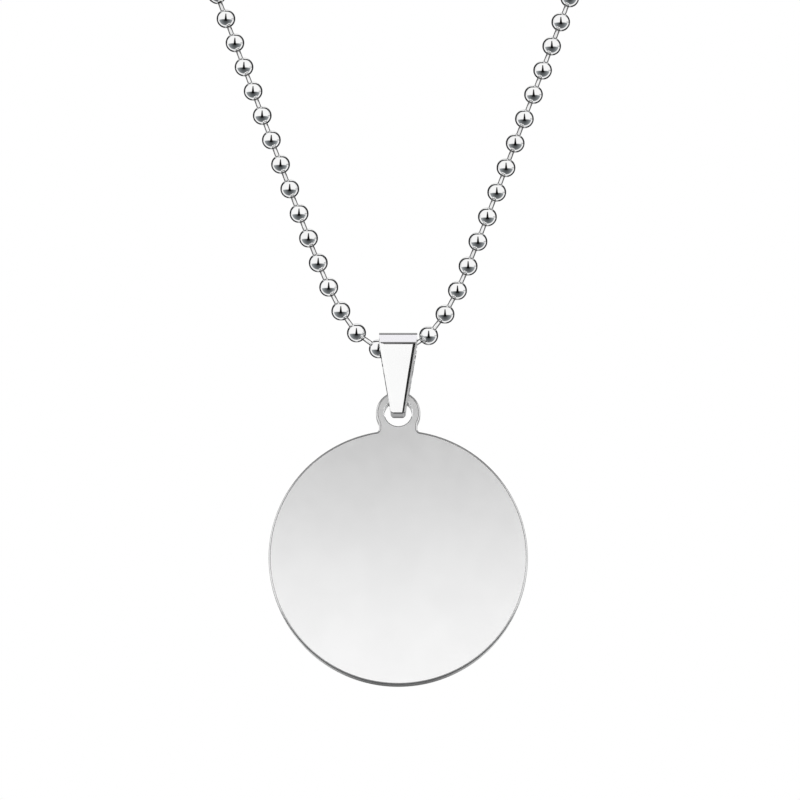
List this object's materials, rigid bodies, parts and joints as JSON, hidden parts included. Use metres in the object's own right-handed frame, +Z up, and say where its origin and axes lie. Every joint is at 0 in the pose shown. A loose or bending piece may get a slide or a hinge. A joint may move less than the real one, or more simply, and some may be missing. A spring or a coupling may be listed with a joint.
{
  "type": "round tag pendant on a ball chain necklace",
  "caption": "Round polished steel tag hung by its ear from a tapered bail on a closed ball chain necklace, shown as worn.",
  "frame": {"origin": "middle of the nape, on the line through the balls, where the loop lies on the back of the neck", "axes": "+Z up, -Y towards the front, where the tag hangs, +X to the viewer's right when looking at the front"},
  "size_m": [0.1228, 0.1125, 0.233],
  "materials": {
    "chain_steel": "mirror-bright plated steel balls",
    "clasp_steel": "bright plated steel sleeve",
    "bail_steel": "high polish",
    "tag_steel": "fine satin polish"
  },
  "bodies": {
    "loop": {"ball_chain": "chain_steel", "clasp": "clasp_steel"},
    "bail": {"bail": "bail_steel"},
    "tag": {"tag": "tag_steel"}
  },
  "joints": [
    {"name": "bail_swing", "type": "hinge", "parent": "loop", "child": "bail", "pos_m": [0.00055, -0.10857, -0.18883], "axis": [1, 0, 0], "range_deg": [-90, 90]},
    {"name": "tag_swing", "type": "hinge", "parent": "bail", "child": "tag", "pos_m": [0.00055, -0.10857, -0.19698], "axis": [0, 1, 0], "range_deg": [-75, 75]}
  ]
}
